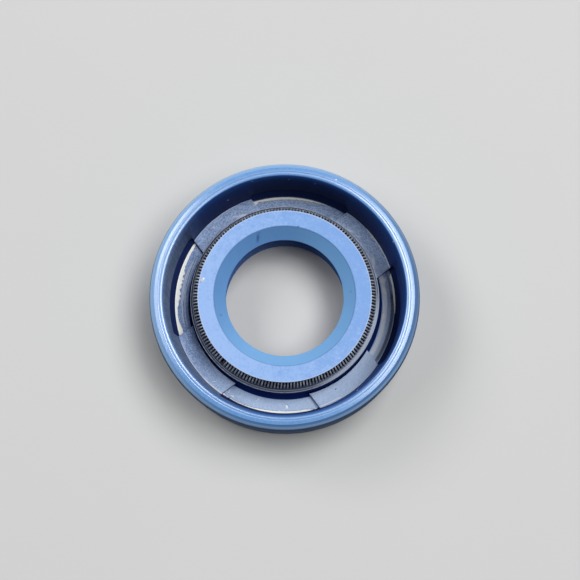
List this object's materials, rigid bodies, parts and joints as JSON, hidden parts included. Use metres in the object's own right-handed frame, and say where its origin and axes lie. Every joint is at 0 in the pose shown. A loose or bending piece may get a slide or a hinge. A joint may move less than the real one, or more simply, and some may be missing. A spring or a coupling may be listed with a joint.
{
  "type": "radial shaft seal",
  "caption": "Rubber-covered radial shaft seal with a spring-loaded sealing lip, a dust lip and a moulded-in steel case.",
  "frame": {"origin": "centre of the back face, the dust side that faces the air", "axes": "+Z along the shaft, from the dust side to the spring side; the first pad's centre line is at 45 degrees from +X"},
  "size_m": [0.0252, 0.0252, 0.007],
  "materials": {
    "blue_rubber": "satin moulded nitrile rubber",
    "case_steel": "bare cold-rolled steel sheet, bonding face",
    "spring_steel": "dark drawn spring wire, lightly oiled"
  },
  "bodies": {
    "root": {"seal_body": "blue_rubber", "metal_case": "case_steel", "garter_spring": "spring_steel"}
  },
  "joints": []
}
